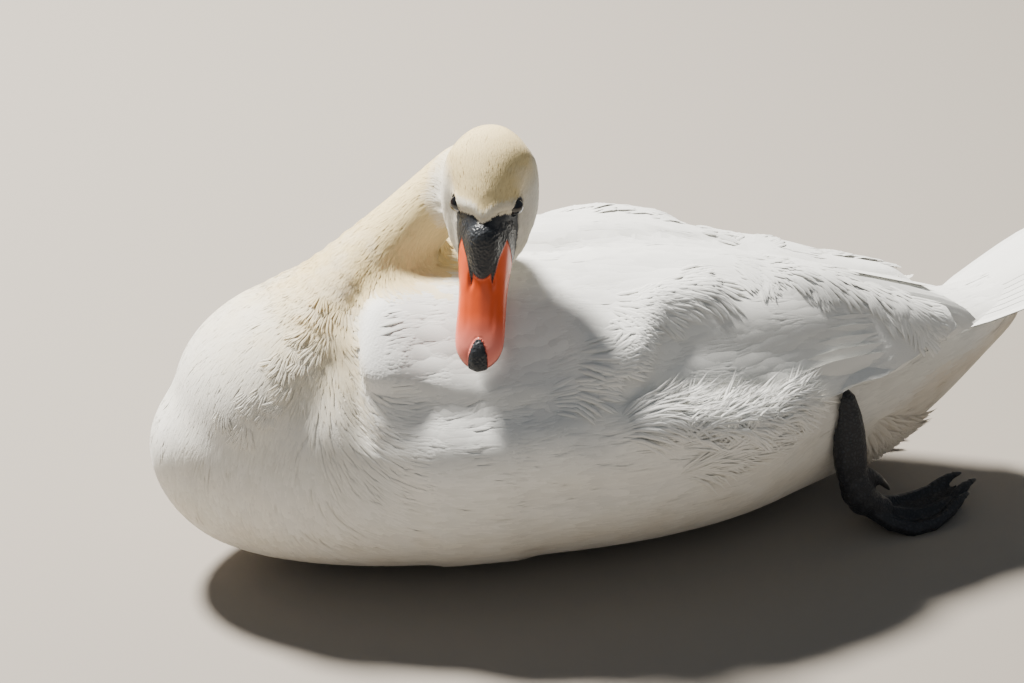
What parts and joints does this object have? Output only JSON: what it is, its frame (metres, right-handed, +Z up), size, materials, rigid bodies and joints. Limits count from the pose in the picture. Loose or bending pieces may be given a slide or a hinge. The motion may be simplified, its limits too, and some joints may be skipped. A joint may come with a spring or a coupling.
{
  "type": "resting mute swan",
  "caption": "Life-size still mute swan lying on its belly, wings folded, neck drawn back and the bill laid on its left wing.",
  "frame": {"origin": "on the floor, at the middle of the swan's box", "axes": "+Z up; +X towards the tail and -X towards the breast; the swan's left side is -Y"},
  "size_m": [0.8146, 0.3138, 0.3722],
  "materials": {
    "plumage": "soft white feathers, cream on the head and neck",
    "bill": "horny orange sheath with black base, knob and nail, half gloss",
    "eye": "wet dark brown",
    "leg": "blue-black scaly skin, dull"
  },
  "bodies": {
    "root": {"head": "plumage", "neck_upper": "plumage", "neck_lower": "plumage", "trunk": "plumage", "wing_left": "plumage", "wing_right": "plumage", "tail": "plumage", "bill_upper": "bill", "bill_lower": "bill", "eye_left": "eye", "eye_right": "eye", "leg_left": "leg", "leg_right": "leg", "foot_left": "leg", "foot_right": "leg"}
  },
  "joints": []
}
